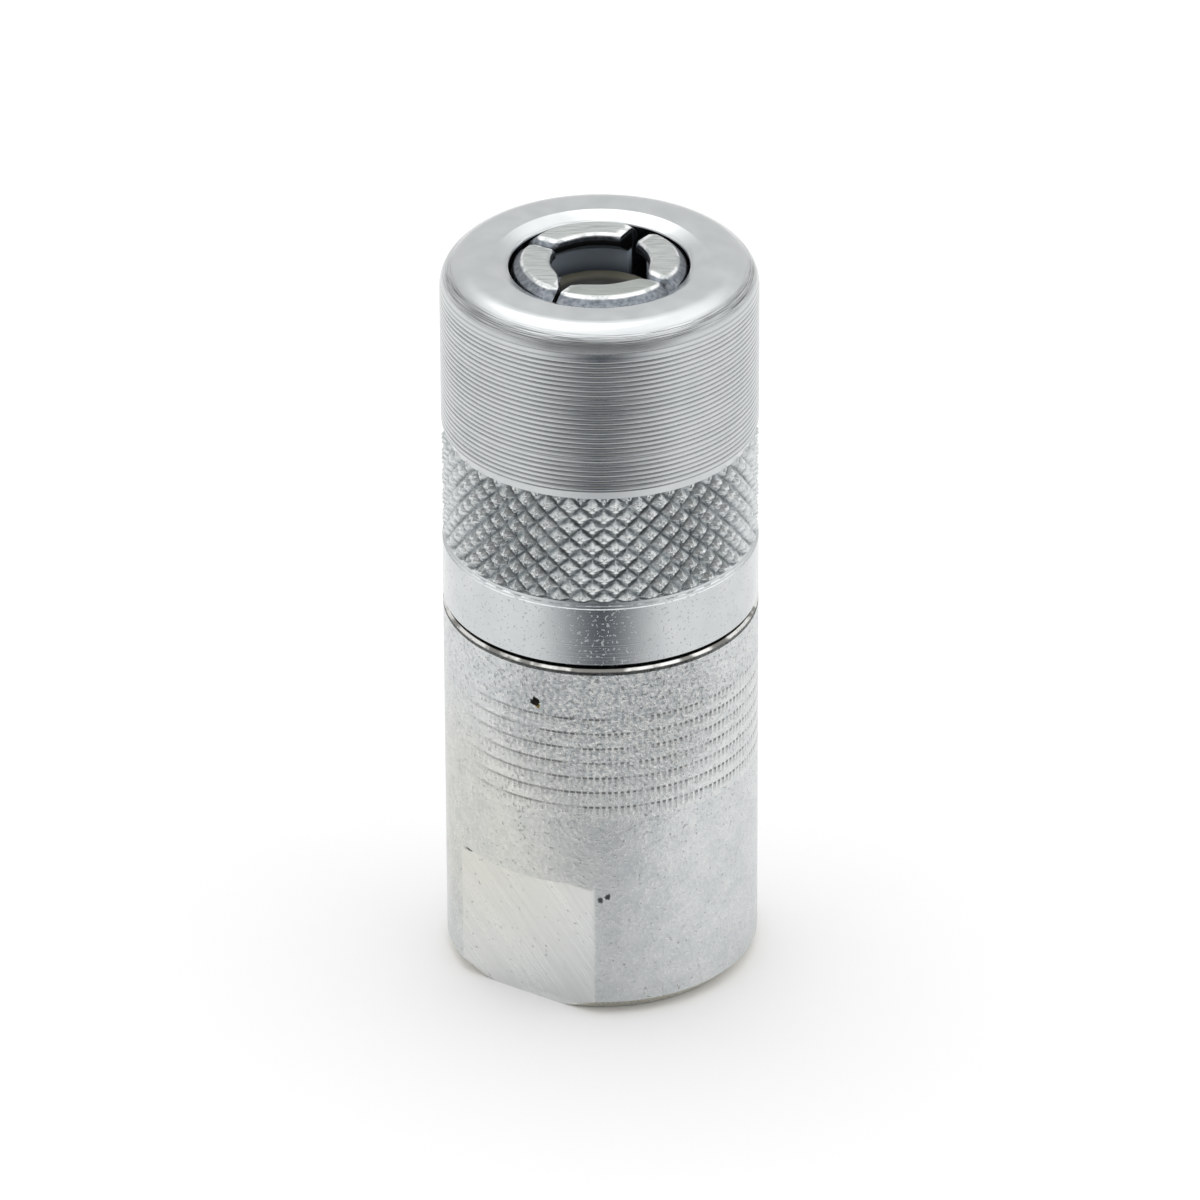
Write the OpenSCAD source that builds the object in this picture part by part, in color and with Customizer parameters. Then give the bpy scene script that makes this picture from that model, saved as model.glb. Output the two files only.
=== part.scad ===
// Grease coupler with four gripping jaws, for grease nipples with a 6.5 mm head.
// The axis is Z, the foot stands on z = 0 and the mouth faces +Z. Millimetres.

/* [Body] */
// Outside diameter of the body and of the sleeve screwed onto it
coupler_d = 15; // [14.5:0.1:18]
// Height of the body from its foot to its shoulder
body_h = 19.05; // [18:0.05:24]
// Chamfer round the foot
foot_chamfer = 0.7; // [0.2:0.1:1.2]
// Chamfer round the shoulder
shoulder_chamfer = 0.3; // [0.1:0.05:0.5]
// Width across the two wrench flats
flats_w = 13; // [12:0.1:14]
// Height of the wrench flats above the foot
flats_h = 7.2; // [4:0.1:9]

/* [Inlet] */
// Tapping diameter of the inlet thread
inlet_d = 9; // [8:0.1:9.6]
// Depth of the inlet thread
inlet_depth = 8.5; // [7:0.1:9]
// Chamfer round the inlet's mouth
inlet_chamfer = 0.6; // [0.2:0.1:0.8]

/* [Screwed joint] */
// Wall of the sleeve outside the thread that joins it to the body
sleeve_wall = 1.3; // [1:0.05:1.6]
// Length of the body's threaded spigot
spigot_h = 6; // [5:0.1:6.8]
// Chamfer round the end of the spigot
spigot_chamfer = 0.5; // [0.2:0.1:0.8]
// Length of the relief groove at the root of the spigot
relief_h = 0.9; // [0.5:0.1:1.5]
// Depth of the relief groove
relief_depth = 0.55; // [0.2:0.05:0.8]
// Width of the land that the sleeve seats on
land_w = 0.5; // [0.3:0.05:0.8]
// Height of the land, which leaves the groove between body and sleeve
land_h = 0.2; // [0.1:0.05:0.5]
// Length of the sleeve's thread past the end of the spigot
runout_h = 0.5; // [0.3:0.1:1]
// Radial clearance in the screwed joint
thread_fit = 0.04; // [0.02:0.01:0.08]

/* [Check valve] */
// Diameter of the orifice under the ball
orifice_d = 2.4; // [1.6:0.1:2.4]
// Length of the orifice
orifice_h = 1.1; // [0.6:0.1:1.4]
// Half angle of the conical ball seat
seat_angle = 45; // [42:1:50]
// Diameter of the check ball
ball_d = 3.5; // [3.45:0.05:3.9]
// Gap round the ball in its chamber
ball_gap = 0.65; // [0.4:0.05:0.8]
// Wire diameter of the check spring
check_wire_d = 0.35; // [0.25:0.05:0.4]
// Mean coil diameter of the check spring
check_coil_d = 2.6; // [2.3:0.1:2.8]
// Fitted length of the check spring
check_spring_h = 2.9; // [2.5:0.1:3.2]
// Turns of the check spring
check_turns = 4; // [3:0.5:5]
// Diameter of the retainer over the check spring
retainer_d = 5.8; // [5.5:0.1:5.8]
// Thickness of the retainer
retainer_h = 0.9; // [0.6:0.1:1.2]
// Grease hole in the retainer
retainer_hole_d = 1.8; // [1.2:0.1:2]

/* [Plunger] */
// Bore that guides the plunger's stem
guide_d = 6; // [5.9:0.05:6.4]
// Radial clearance of the stem in its bore
stem_fit = 0.04; // [0.02:0.01:0.08]
// Stroke that opens the jaws
stroke = 2.8; // [2:0.1:3]
// Clearance left under the stem at the end of its stroke
stem_clear = 0.2; // [0.1:0.1:0.6]
// Grease channel through the plunger
channel_d = 2; // [1.4:0.1:2.4]
// Diameter of the plunger's head
head_d = 6; // [5.6:0.1:6.2]
// Gap between the collar under the thrust ring and the jaw spring
collar_gap = 0.1; // [0.05:0.05:0.2]
// Thickness of the collar
collar_h = 1; // [0.6:0.1:1.4]
// Cord diameter of the O-ring
o_ring_cord = 0.8; // [0.6:0.05:0.9]
// Height of the O-ring's middle above the end of the stem
o_ring_rise = 1.4; // [1:0.1:1.8]

/* [Jaw spring and thrust ring] */
// Wall of the spigot round the spring's pocket
spigot_wall = 1.55; // [1.3:0.05:1.7]
// Depth of the spring's pocket
pocket_h = 3.25; // [2.5:0.05:3.8]
// Wire diameter of the jaw spring
jaw_wire_d = 0.8; // [0.6:0.05:0.85]
// Turns of the jaw spring
jaw_turns = 4; // [3:0.5:4.5]
// Thickness of the thrust ring
thrust_h = 1; // [0.7:0.1:1.4]
// Gap between the thrust ring and the sleeve
thrust_gap = 0.4; // [0.2:0.1:0.6]

/* [Jaws] */
// Height of a jaw from its foot to the mouth
jaw_h = 6.78; // [6.3:0.02:7.2]
// Diameter that the closed lips leave open
lip_d = 4.9; // [4.4:0.1:5.4]
// Height of the lips
lip_h = 0.6; // [0.4:0.1:1]
// Lead-in chamfer on the lips
lip_chamfer = 0.15; // [0.05:0.05:0.3]
// Diameter of the room for the nipple's head behind the lips
recess_d = 6.7; // [6.6:0.1:7]
// Height of the sloping hook under the lips
hook_h = 0.65; // [0.4:0.05:0.9]
// Width of the saw cuts between the jaws
saw_cut = 0.5; // [0.3:0.1:1.6]
// Width of the bevel round the top of the jaws
jaw_bevel_w = 0.5; // [0.2:0.05:0.7]
// Height of that bevel
jaw_bevel_h = 0.45; // [0.2:0.05:0.7]
// Gap between the jaws and the sleeve's cone
cone_gap = 0.05; // [0.03:0.01:0.1]
// Sliding gap under the feet of the jaws
foot_gap = 0.02; // [0.01:0.01:0.05]

/* [Sleeve] */
// Length of the sleeve
sleeve_h = 17.75; // [17.5:0.05:20]
// Step from the thread in to the room for the jaws and the spring
room_step = 0.3; // [0.2:0.05:0.4]
// Half angle of the cone that closes the jaws
cone_angle = 16; // [14:0.5:18]
// Diameter of the mouth
mouth_d = 8.5; // [8.2:0.1:8.8]
// Width of the bevel round the mouth
mouth_bevel_w = 0.63; // [0.3:0.03:0.8]
// Height of the bevel round the mouth
mouth_bevel_h = 0.36; // [0.2:0.02:0.5]
// Radius of the rounded nose
nose_r = 1.4; // [0.6:0.1:1.6]
// Length of the plain skirt below the knurled grip
skirt_h = 3.1; // [2:0.1:4]
// Length of the knurled grip with its bevelled ends
grip_h = 6.3; // [4:0.1:8]
// Length of each bevelled end of the grip
grip_bevel_h = 0.4; // [0.2:0.05:0.8]
// Depth of the grip below the sleeve's outside
grip_depth = 0.3; // [0.15:0.05:0.4]
// Teeth of the diamond knurl round the grip
knurl_count = 42; // [24:2:48]

/* [Seal] */
// Depth of the seal's rim below the mouth
seal_depth = 2.2; // [1.9:0.1:2.6]
// Height of the seal's disc above the plunger
seal_h = 1.4; // [1:0.1:1.8]
// Diameter of the stub that holds the seal in the plunger
stub_d = 4.4; // [3.6:0.1:4.6]
// Length of that stub
stub_h = 1; // [0.6:0.1:1.4]
// Width of the seal's rim round its dish
rim_w = 0.35; // [0.2:0.05:0.6]
// Depth of the dish that takes the nipple's head
dish_h = 1; // [0.6:0.1:1.3]
// Clearance between pieces that are pushed together
push_fit = 0.02; // [0.01:0.01:0.05]

/* [Hidden] */
$fn = 96;
cut = 0.5;
coupler_r = coupler_d / 2;
seat_z = body_h + land_h;
spigot_z = seat_z + spigot_h;
socket_d = coupler_d - 2 * sleeve_wall;
spigot_d = socket_d - 2 * thread_fit;
land_d = socket_d + 2 * land_w;
room_d = socket_d - 2 * room_step;
mouth_z = seat_z + sleeve_h;

ball_seat_z = inlet_depth + orifice_h;
valve_room_d = ball_d + 2 * ball_gap;
valve_cone_z = ball_seat_z + (valve_room_d - orifice_d) / 2 / tan(seat_angle);
ball_z = ball_seat_z - orifice_d / 2 / tan(seat_angle) + ball_d / 2 / sin(seat_angle) + push_fit;
check_reach = ball_d / 2 + check_wire_d / 2 + push_fit;
check_z = ball_z + sqrt(check_reach ^ 2 - (check_coil_d / 2) ^ 2) - check_wire_d / 2;
retainer_z = check_z + check_spring_h;
guide_z = retainer_z + retainer_h;

stem_z = guide_z + stroke + stem_clear;
stem_d = guide_d - 2 * stem_fit;
o_ring_z = stem_z + o_ring_rise;
o_ring_mid_d = guide_d - o_ring_cord - push_fit;
o_ring_groove_d = o_ring_mid_d - o_ring_cord - push_fit;
o_ring_groove_h = o_ring_cord * 1.3;

pocket_z = spigot_z - pocket_h;
pocket_d = spigot_d - 2 * spigot_wall;
jaw_coil_d = (guide_d + pocket_d) / 2;
collar_d = jaw_coil_d - jaw_wire_d - 2 * collar_gap;
jaw_z = mouth_z - jaw_h;
thrust_z = jaw_z - foot_gap - thrust_h;
seal_z = mouth_z - seal_depth - seal_h;

throat_z = mouth_z - mouth_bevel_h;
cone_z = throat_z - (room_d - mouth_d) / 2 / tan(cone_angle);
jaw_r = room_d / 2 - stroke * tan(cone_angle) - cone_gap;
cone_foot_d = mouth_d + 2 * (throat_z - jaw_z) * tan(cone_angle);
thrust_d = min(room_d, cone_foot_d) - 2 * thrust_gap;
grip_z = seat_z + skirt_h;
knurl_rise = 0.03;
knurl_root = 0.3;

// Outside radius of the closed jaws on their cone at a height
function jaw_cone_r(z) = mouth_d / 2 + (throat_z - z) * tan(cone_angle) - cone_gap / cos(cone_angle);

// Height of a coil's wire after a number of turns, with flattened end turns
function coil_rise(turn, turns, rise, wire) =
  let (flat_turns = 0.75, flat_pitch = 1.06 * wire, flat_h = flat_turns * flat_pitch)
  turn < flat_turns ? turn * flat_pitch :
  turn > turns - flat_turns ? rise - (turns - turn) * flat_pitch :
  flat_h + (turn - flat_turns) * (rise - 2 * flat_h) / (turns - 2 * flat_turns);

// Flat ring or washer between two heights
module washer(outer_d, hole_d, z, h) {
  translate([0, 0, z])
    difference() {
      cylinder(d = outer_d, h = h);
      translate([0, 0, -cut])
        cylinder(d = hole_d, h = h + 2 * cut);
    }
}

// Compression spring of round wire between two heights
module coil(coil_d, wire_d, z0, z1, turns) {
  sides = 8;
  steps = 16 * turns;
  rings = [
    for (i = [0 : steps], k = [0 : sides - 1])
      let (
        turn = i / 16,
        a = 360 * turn,
        b = 360 * k / sides,
        r = coil_d / 2 + wire_d / 2 * cos(b),
        z = z0 + wire_d / 2 + coil_rise(turn, turns, z1 - z0 - wire_d, wire_d) + wire_d / 2 * sin(b)
      )
      [r * cos(a), r * sin(a), z]
  ];
  walls = [
    for (i = [0 : steps - 1], k = [0 : sides - 1])
      let (a = i * sides, next = (k + 1) % sides)
      [a + k, a + next, a + sides + next, a + sides + k]
  ];
  first_end = [for (k = [sides - 1 : -1 : 0]) k];
  last_end = [for (k = [0 : sides - 1]) steps * sides + k];
  polyhedron(rings, concat(walls, [first_end, last_end]), convexity = 8);
}

// Turned barrel with two wrench flats, inlet thread, check valve seat and threaded spigot
module coupler_body() {
  color("#c9cbca")
  difference() {
    rotate_extrude()
      polygon([
        [0, 0],
        [coupler_r - foot_chamfer, 0],
        [coupler_r, foot_chamfer],
        [coupler_r, body_h - shoulder_chamfer],
        [coupler_r - shoulder_chamfer, body_h],
        [land_d / 2, body_h],
        [land_d / 2, seat_z],
        [spigot_d / 2 - relief_depth, seat_z],
        [spigot_d / 2 - relief_depth, seat_z + relief_h],
        [spigot_d / 2, seat_z + relief_h],
        [spigot_d / 2, spigot_z - spigot_chamfer],
        [spigot_d / 2 - spigot_chamfer, spigot_z],
        [0, spigot_z]
      ]);
    for (side = [0, 180])
      rotate(side)
        translate([-coupler_r, flats_w / 2, -cut])
          cube([coupler_d, coupler_r, flats_h + cut]);
    rotate_extrude()
      polygon([
        [0, -cut],
        [inlet_d / 2 + inlet_chamfer + cut, -cut],
        [inlet_d / 2, inlet_chamfer],
        [inlet_d / 2, inlet_depth],
        [orifice_d / 2, inlet_depth],
        [orifice_d / 2, ball_seat_z],
        [valve_room_d / 2, valve_cone_z],
        [valve_room_d / 2, retainer_z],
        [retainer_d / 2, retainer_z],
        [retainer_d / 2, guide_z],
        [guide_d / 2, guide_z],
        [guide_d / 2, pocket_z],
        [pocket_d / 2, pocket_z],
        [pocket_d / 2, spigot_z + cut],
        [0, spigot_z + cut]
      ]);
  }
}

// Half section of the sleeve's outside, with its rounded nose and the recess of its grip
module sleeve_section() {
  difference() {
    union() {
      translate([0, seat_z])
        square([coupler_r, sleeve_h - nose_r]);
      translate([0, mouth_z - nose_r])
        square([coupler_r - nose_r, nose_r]);
      translate([coupler_r - nose_r, mouth_z - nose_r])
        intersection() {
          circle(nose_r);
          square(nose_r);
        }
    }
    polygon([
      [coupler_r, grip_z],
      [coupler_r, grip_z + grip_h],
      [coupler_r - grip_depth, grip_z + grip_h - grip_bevel_h],
      [coupler_r - grip_depth, grip_z + grip_bevel_h]
    ]);
  }
}

// Diamond knurl between two heights: pyramids parted by two sets of slanting grooves, on a buried ring
module diamond_knurl(z0, z1) {
  columns = 2 * round(knurl_count);
  rows = 2 * round((z1 - z0) * knurl_count / (PI * coupler_d));
  groove_r = coupler_r - grip_depth + knurl_rise;
  root_r = coupler_r - grip_depth - knurl_root;
  teeth = [
    for (j = [0 : rows], i = [0 : columns - 1])
      let (
        tip = (i + j) % 2 == 1 && j > 0 && j < rows,
        r = tip ? coupler_r : groove_r,
        a = 360 * i / columns
      )
      [r * cos(a), r * sin(a), z0 + (z1 - z0) * j / rows]
  ];
  roots = [
    for (z = [z0, z1], i = [0 : columns - 1])
      let (a = 360 * i / columns)
      [root_r * cos(a), root_r * sin(a), z]
  ];
  low_root = len(teeth);
  high_root = low_root + columns;
  top_row = rows * columns;
  flanks = [
    for (j = [0 : rows - 1], i = [0 : columns - 1])
      let (
        next = (i + 1) % columns,
        a = j * columns + i,
        b = j * columns + next,
        c = b + columns,
        d = a + columns
      )
      each (i + j) % 2 == 0 ? [[a, c, b], [a, d, c]] : [[a, d, b], [b, d, c]]
  ];
  ends = [
    for (i = [0 : columns - 1])
      let (next = (i + 1) % columns)
      each [
        [i, next, low_root + next, low_root + i],
        [top_row + next, top_row + i, high_root + i, high_root + next],
        [low_root + i, low_root + next, high_root + next, high_root + i]
      ]
  ];
  polyhedron(concat(teeth, roots), concat(flanks, ends), convexity = 8);
}

// Nose sleeve: screws onto the spigot and closes the jaws with its inner cone
module nose_sleeve() {
  color("#c4c6c6")
  difference() {
    union() {
      rotate_extrude()
        sleeve_section();
      diamond_knurl(grip_z + grip_bevel_h, grip_z + grip_h - grip_bevel_h);
    }
    rotate_extrude()
      polygon([
        [0, seat_z - cut],
        [socket_d / 2, seat_z - cut],
        [socket_d / 2, spigot_z + runout_h],
        [room_d / 2, spigot_z + runout_h],
        [room_d / 2, cone_z],
        [mouth_d / 2, throat_z],
        [mouth_d / 2 + 2 * mouth_bevel_w, throat_z + 2 * mouth_bevel_h],
        [0, throat_z + 2 * mouth_bevel_h]
      ]);
  }
}

// One of the four jaws that the saw cuts part, counted from the +X +Y quarter
module jaw(quarter) {
  bevel_z = mouth_z - jaw_bevel_h;
  hook_z = mouth_z - lip_h - hook_h;
  shoulder_z = throat_z - (jaw_r + cone_gap / cos(cone_angle) - mouth_d / 2) / tan(cone_angle);
  color("#a9adae")
  intersection() {
    rotate_extrude()
      polygon([
        [recess_d / 2, jaw_z],
        [jaw_r, jaw_z],
        [jaw_r, shoulder_z],
        [jaw_cone_r(bevel_z), bevel_z],
        [jaw_cone_r(bevel_z) - jaw_bevel_w, mouth_z],
        [lip_d / 2 + lip_chamfer, mouth_z],
        [lip_d / 2, mouth_z - lip_chamfer],
        [lip_d / 2, mouth_z - lip_h],
        [recess_d / 2, hook_z]
      ]);
    rotate(90 * (quarter - 1))
      translate([saw_cut / 2, saw_cut / 2, jaw_z - cut])
        cube([room_d / 2, room_d / 2, jaw_h + 2 * cut]);
  }
}

module jaw_1() { jaw(1); }
module jaw_2() { jaw(2); }
module jaw_3() { jaw(3); }
module jaw_4() { jaw(4); }

// Hardened ring between the jaw spring and the feet of the jaws
module thrust_ring() {
  color("#8f9496")
    washer(thrust_d, head_d + 2 * push_fit, thrust_z, thrust_h);
}

// Strong spring that holds the jaws up in the cone
module jaw_spring() {
  color("#7f868a")
    coil(jaw_coil_d, jaw_wire_d, pocket_z + push_fit, thrust_z - push_fit, jaw_turns);
}

// Hollow plunger: its stem slides in the body and its head carries the seal
module seal_plunger() {
  groove_z = o_ring_z - o_ring_groove_h / 2;
  cup_z = seal_z - stub_h - push_fit;
  color("#b9bcbb")
  rotate_extrude()
    polygon([
      [channel_d / 2, stem_z],
      [stem_d / 2, stem_z],
      [stem_d / 2, groove_z],
      [o_ring_groove_d / 2, groove_z],
      [o_ring_groove_d / 2, groove_z + o_ring_groove_h],
      [stem_d / 2, groove_z + o_ring_groove_h],
      [stem_d / 2, thrust_z - collar_h],
      [collar_d / 2, thrust_z - collar_h],
      [collar_d / 2, thrust_z],
      [head_d / 2, thrust_z],
      [head_d / 2, seal_z],
      [stub_d / 2 + push_fit, seal_z],
      [stub_d / 2 + push_fit, cup_z],
      [channel_d / 2, cup_z]
    ]);
}

// Dished sealing disc that presses on the nipple's head
module nipple_seal() {
  rim_z = seal_z + seal_h;
  color("#6f6a4c")
  rotate_extrude()
    polygon([
      [channel_d / 2, seal_z - stub_h],
      [stub_d / 2, seal_z - stub_h],
      [stub_d / 2, seal_z],
      [head_d / 2, seal_z],
      [head_d / 2, rim_z],
      [head_d / 2 - rim_w, rim_z],
      [channel_d / 2, rim_z - dish_h]
    ]);
}

// O-ring that seals the plunger's stem in the body
module plunger_o_ring() {
  color("#2b2b2b")
  translate([0, 0, o_ring_z])
    rotate_extrude()
      translate([o_ring_mid_d / 2, 0])
        circle(d = o_ring_cord);
}

// Ball of the check valve on its seat
module check_ball() {
  color("#d8dadb")
  translate([0, 0, ball_z])
    sphere(d = ball_d);
}

// Light spring that holds the ball on its seat
module check_spring() {
  color("#8a9092")
    coil(check_coil_d, check_wire_d, check_z, retainer_z - push_fit, check_turns);
}

// Pressed-in disc that holds the check spring, with a hole for the grease
module spring_retainer() {
  color("#b9bcbb")
    washer(retainer_d - push_fit, retainer_hole_d, retainer_z, retainer_h);
}

coupler_body();
nose_sleeve();
jaw_1();
jaw_2();
jaw_3();
jaw_4();
thrust_ring();
jaw_spring();
seal_plunger();
nipple_seal();
plunger_o_ring();
check_ball();
check_spring();
spring_retainer();
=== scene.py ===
import math

import bpy
import numpy as np
from mathutils import Matrix, Vector


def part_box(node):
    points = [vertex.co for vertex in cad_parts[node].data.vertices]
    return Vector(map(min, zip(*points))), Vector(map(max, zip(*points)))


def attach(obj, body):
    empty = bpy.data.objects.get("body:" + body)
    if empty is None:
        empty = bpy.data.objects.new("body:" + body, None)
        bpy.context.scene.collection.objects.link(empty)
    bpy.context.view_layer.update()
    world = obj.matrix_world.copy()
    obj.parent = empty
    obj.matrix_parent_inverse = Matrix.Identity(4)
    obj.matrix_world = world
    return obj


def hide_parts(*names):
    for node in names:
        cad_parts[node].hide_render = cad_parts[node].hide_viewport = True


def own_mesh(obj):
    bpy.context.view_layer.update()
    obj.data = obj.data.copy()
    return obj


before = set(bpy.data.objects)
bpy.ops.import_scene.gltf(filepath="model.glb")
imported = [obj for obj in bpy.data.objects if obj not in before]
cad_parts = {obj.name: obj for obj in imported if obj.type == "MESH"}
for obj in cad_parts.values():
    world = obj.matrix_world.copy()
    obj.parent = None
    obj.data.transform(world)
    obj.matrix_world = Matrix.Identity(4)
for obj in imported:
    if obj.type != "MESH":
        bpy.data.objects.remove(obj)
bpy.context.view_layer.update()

# Coupler body
# A steel barrel turned from bar, with two milled wrench flats at its foot, an M10x1 inlet thread
# and a threaded spigot for the sleeve. It is zinc plated, which leaves it matte and slightly mottled.

MM = 0.001
TURN = 2 * math.pi


def box_mm(node):
    """Lowest and highest corner of a CAD node, in millimetres."""
    low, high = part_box(node)
    return np.array(low) / MM, np.array(high) / MM


def corners(points, step=1.0):
    """Points of a section, (radius, height), along straight lines between corners, at most step apart."""
    rows = []
    for start, end in zip(points[:-1], points[1:]):
        count = max(1, math.ceil(math.dist(start, end) / step))
        share = np.arange(count)[:, None] / count
        rows.append(np.array(start) + share * (np.array(end) - np.array(start)))
    rows.append(np.array([points[-1]], float))
    return np.vstack(rows)


def spread(section, angles):
    """Radius and height grids of a section that is the same at each angle: one row for each point."""
    shape = (len(section), len(angles))
    return np.broadcast_to(section[:, :1], shape).copy(), np.broadcast_to(section[:, 1:], shape).copy()


def thread_rows(crest, root, start, end, angles, pitch=1.0, steps=12):
    """Rows of a right-hand thread from one height to another: the radius swings between crest and root
    as a flattened wave of height over pitch less the share of a turn, with rounded edges, and fades at both
    ends."""
    count = max(2, round(abs(end - start) / pitch * steps))
    height = np.linspace(start, end, count + 1)[:, None] + 0 * angles[None, :]
    phase = (height / pitch - angles[None, :] / TURN) % 1
    wave = np.clip((np.abs(2 * phase - 1) - 0.5) * 1.35 + 0.5, 0, 1)
    wave = wave**2 * (3 - 2 * wave)
    low, high = min(start, end), max(start, end)
    fade = np.clip(np.minimum(height - low, high - height) / (0.5 * pitch), 0, 1)
    return crest + (root - crest) * wave * fade, height


def turned_points(rows, angles):
    """Points in space of a stack of (radius, height) rows: radius times cosine and sine of the angle."""
    radius = np.vstack([row[0] for row in rows])
    height = np.vstack([row[1] for row in rows])
    return np.stack([radius * np.cos(angles), radius * np.sin(angles), height], axis=2)


def surface_piece(name, points, closed=True, sharp=35):
    """A piece from a grid of points in millimetres. Its rows go round the section and close. Its columns
    close too, or end in flat caps. Each cell is split along the diagonal nearer to the axis, which keeps
    the bottom of a groove straight."""
    rows, columns = points.shape[:2]
    index = np.arange(rows * columns).reshape(rows, columns)
    depth = np.hypot(points[..., 0], points[..., 1])
    used = slice(None) if closed else slice(0, columns - 1)
    a, da = index[:, used], depth[:, used]
    b, db = np.roll(index, -1, 1)[:, used], np.roll(depth, -1, 1)[:, used]
    c, dc = np.roll(np.roll(index, -1, 1), -1, 0)[:, used], np.roll(np.roll(depth, -1, 1), -1, 0)[:, used]
    d, dd = np.roll(index, -1, 0)[:, used], np.roll(depth, -1, 0)[:, used]
    split = (da + dc <= db + dd + 1e-9)[..., None]
    first = np.where(split, np.stack([a, b, c], -1), np.stack([a, b, d], -1))
    second = np.where(split, np.stack([a, c, d], -1), np.stack([b, c, d], -1))
    faces = np.concatenate([first.reshape(-1, 3), second.reshape(-1, 3)]).tolist()
    if not closed:
        faces += [index[:, 0].tolist(), index[::-1, -1].tolist()]
    mesh = bpy.data.meshes.new(name)
    mesh.from_pydata(points.reshape(-1, 3) * MM, [], faces)
    mesh.shade_smooth()
    mesh.set_sharp_from_angle(angle=math.radians(sharp))
    piece = bpy.data.objects.new(name, mesh)
    bpy.context.scene.collection.objects.link(piece)
    return piece


def linear(colour):
    """A hex colour as linear red, green, blue and full alpha."""
    channels = [int(colour[i : i + 2], 16) / 255 for i in (1, 3, 5)]
    return [c / 12.92 if c <= 0.04045 else ((c + 0.055) / 1.055) ** 2.4 for c in channels] + [1.0]


def add(tree, kind, inputs=(), **settings):
    """Adds a shader node with its properties, then fills its inputs, in order or by name, each with a value
    or with a link from another node, which gives the first of its outputs in use."""
    node = tree.nodes.new("ShaderNode" + kind)
    for name, value in settings.items():
        setattr(node, name, value)
    sockets = [socket for socket in node.inputs if socket.enabled]
    named = inputs.items() if isinstance(inputs, dict) else enumerate(inputs)
    for key, value in named:
        socket = sockets[key] if isinstance(key, int) else next(s for s in sockets if s.name == key)
        if isinstance(value, bpy.types.Node):
            value = next(s for s in value.outputs if s.enabled)
        if isinstance(value, bpy.types.NodeSocket):
            tree.links.new(value, socket)
        else:
            socket.default_value = value
    return node


def new_material(name, metallic=1.0):
    """A node material: its tree, its shader, and Object coordinates in millimetres."""
    material = bpy.data.materials.new(name)
    material.use_nodes = True
    tree = material.node_tree
    shader = tree.nodes["Principled BSDF"]
    shader.inputs["Metallic"].default_value = metallic
    place = add(tree, "TexCoord").outputs["Object"]
    scaled = add(tree, "VectorMath", (place, 1 / MM), operation="SCALE")
    return material, tree, shader, scaled


body_high = box_mm("coupler_body")[1]
sleeve_low, sleeve_high = box_mm("nose_sleeve")
outer_r = body_high[0]
seat_z = sleeve_low[2]

body_h = 19.05
foot_chamfer = 0.7
shoulder_chamfer = 0.12
tool_line_z = 18.84
tool_line_half = 0.08
tool_line_depth = 0.07
flat_y = 6.5
flat_top = 7.2
flat_corner_r = 0.45
bore_r = 4.5
bore_root_r = 5.0
bore_depth = 8.5
bore_chamfer = 0.6
land_r = 6.7
spigot_r = 6.16
spigot_root_r = 5.66
relief_r = 5.61
relief_top = seat_z + 0.9
spigot_top = body_high[2]
spigot_chamfer = 0.5
spring_pocket_r = 4.61
spring_pocket_z = spigot_top - 3.25
guide_r = 3.0
retainer_low, retainer_high = box_mm("spring_retainer")
retainer_seat_r = 2.9
valve_room_r = 2.4
orifice_r = 1.2
ball_seat_z = 9.6

flat_half = math.acos(flat_y / outer_r)
flat_columns = 40
round_columns = 80
quarter = math.pi / 2
body_angles = np.concatenate([
    np.linspace(-quarter - flat_half, -quarter + flat_half, flat_columns, endpoint=False),
    np.linspace(-quarter + flat_half, quarter - flat_half, round_columns, endpoint=False),
    np.linspace(quarter - flat_half, quarter + flat_half, flat_columns, endpoint=False),
    np.linspace(quarter + flat_half, 3 * quarter - flat_half, round_columns, endpoint=False),
])

foot = corners([(bore_r + bore_chamfer, 0), (outer_r - foot_chamfer, 0), (outer_r, foot_chamfer)], 0.12)
barrel = corners([(outer_r, foot_chamfer), (outer_r, flat_top - flat_corner_r)], 0.7)[1:]
run_out = corners([(outer_r, flat_top - flat_corner_r), (outer_r, flat_top)], 0.06)[1:]
shoulder = corners(
    [
        (outer_r, flat_top + 0.04),
        (outer_r, tool_line_z - tool_line_half),
        (outer_r - tool_line_depth, tool_line_z),
        (outer_r, tool_line_z + tool_line_half),
        (outer_r, body_h - shoulder_chamfer),
        (outer_r - shoulder_chamfer, body_h),
        (land_r, body_h),
        (land_r, seat_z),
        (relief_r, seat_z),
        (relief_r, relief_top),
    ],
    0.7,
)
outside_r, outside_z = spread(np.vstack([foot, barrel, run_out]), body_angles)
rise = np.clip((outside_z - (flat_top - flat_corner_r)) / flat_corner_r, 0, 1)
flat_depth = flat_y + flat_corner_r * (1 - np.sqrt(1 - rise**2))
outside_r = np.minimum(outside_r, flat_depth / np.maximum(np.abs(np.sin(body_angles)), 1e-6))
bore = corners(
    [
        (spring_pocket_r, spigot_top),
        (spring_pocket_r, spring_pocket_z),
        (guide_r, spring_pocket_z),
        (guide_r, retainer_high[2]),
        (retainer_seat_r, retainer_high[2]),
        (retainer_seat_r, retainer_low[2]),
        (valve_room_r, retainer_low[2]),
        (valve_room_r, ball_seat_z + valve_room_r - orifice_r),
        (orifice_r, ball_seat_z),
        (orifice_r, bore_depth),
        (bore_r, bore_depth),
    ],
    1.5,
)
spigot_rim = corners([(spigot_r - spigot_chamfer, spigot_top), (spring_pocket_r + 0.1, spigot_top)])
body_rows = [
    (outside_r, outside_z),
    spread(shoulder, body_angles),
    thread_rows(spigot_r, spigot_root_r, relief_top + 0.05, spigot_top - spigot_chamfer, body_angles),
    spread(spigot_rim, body_angles),
    spread(bore, body_angles),
    thread_rows(bore_r, bore_root_r, bore_depth - 0.05, bore_chamfer, body_angles),
]
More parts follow.
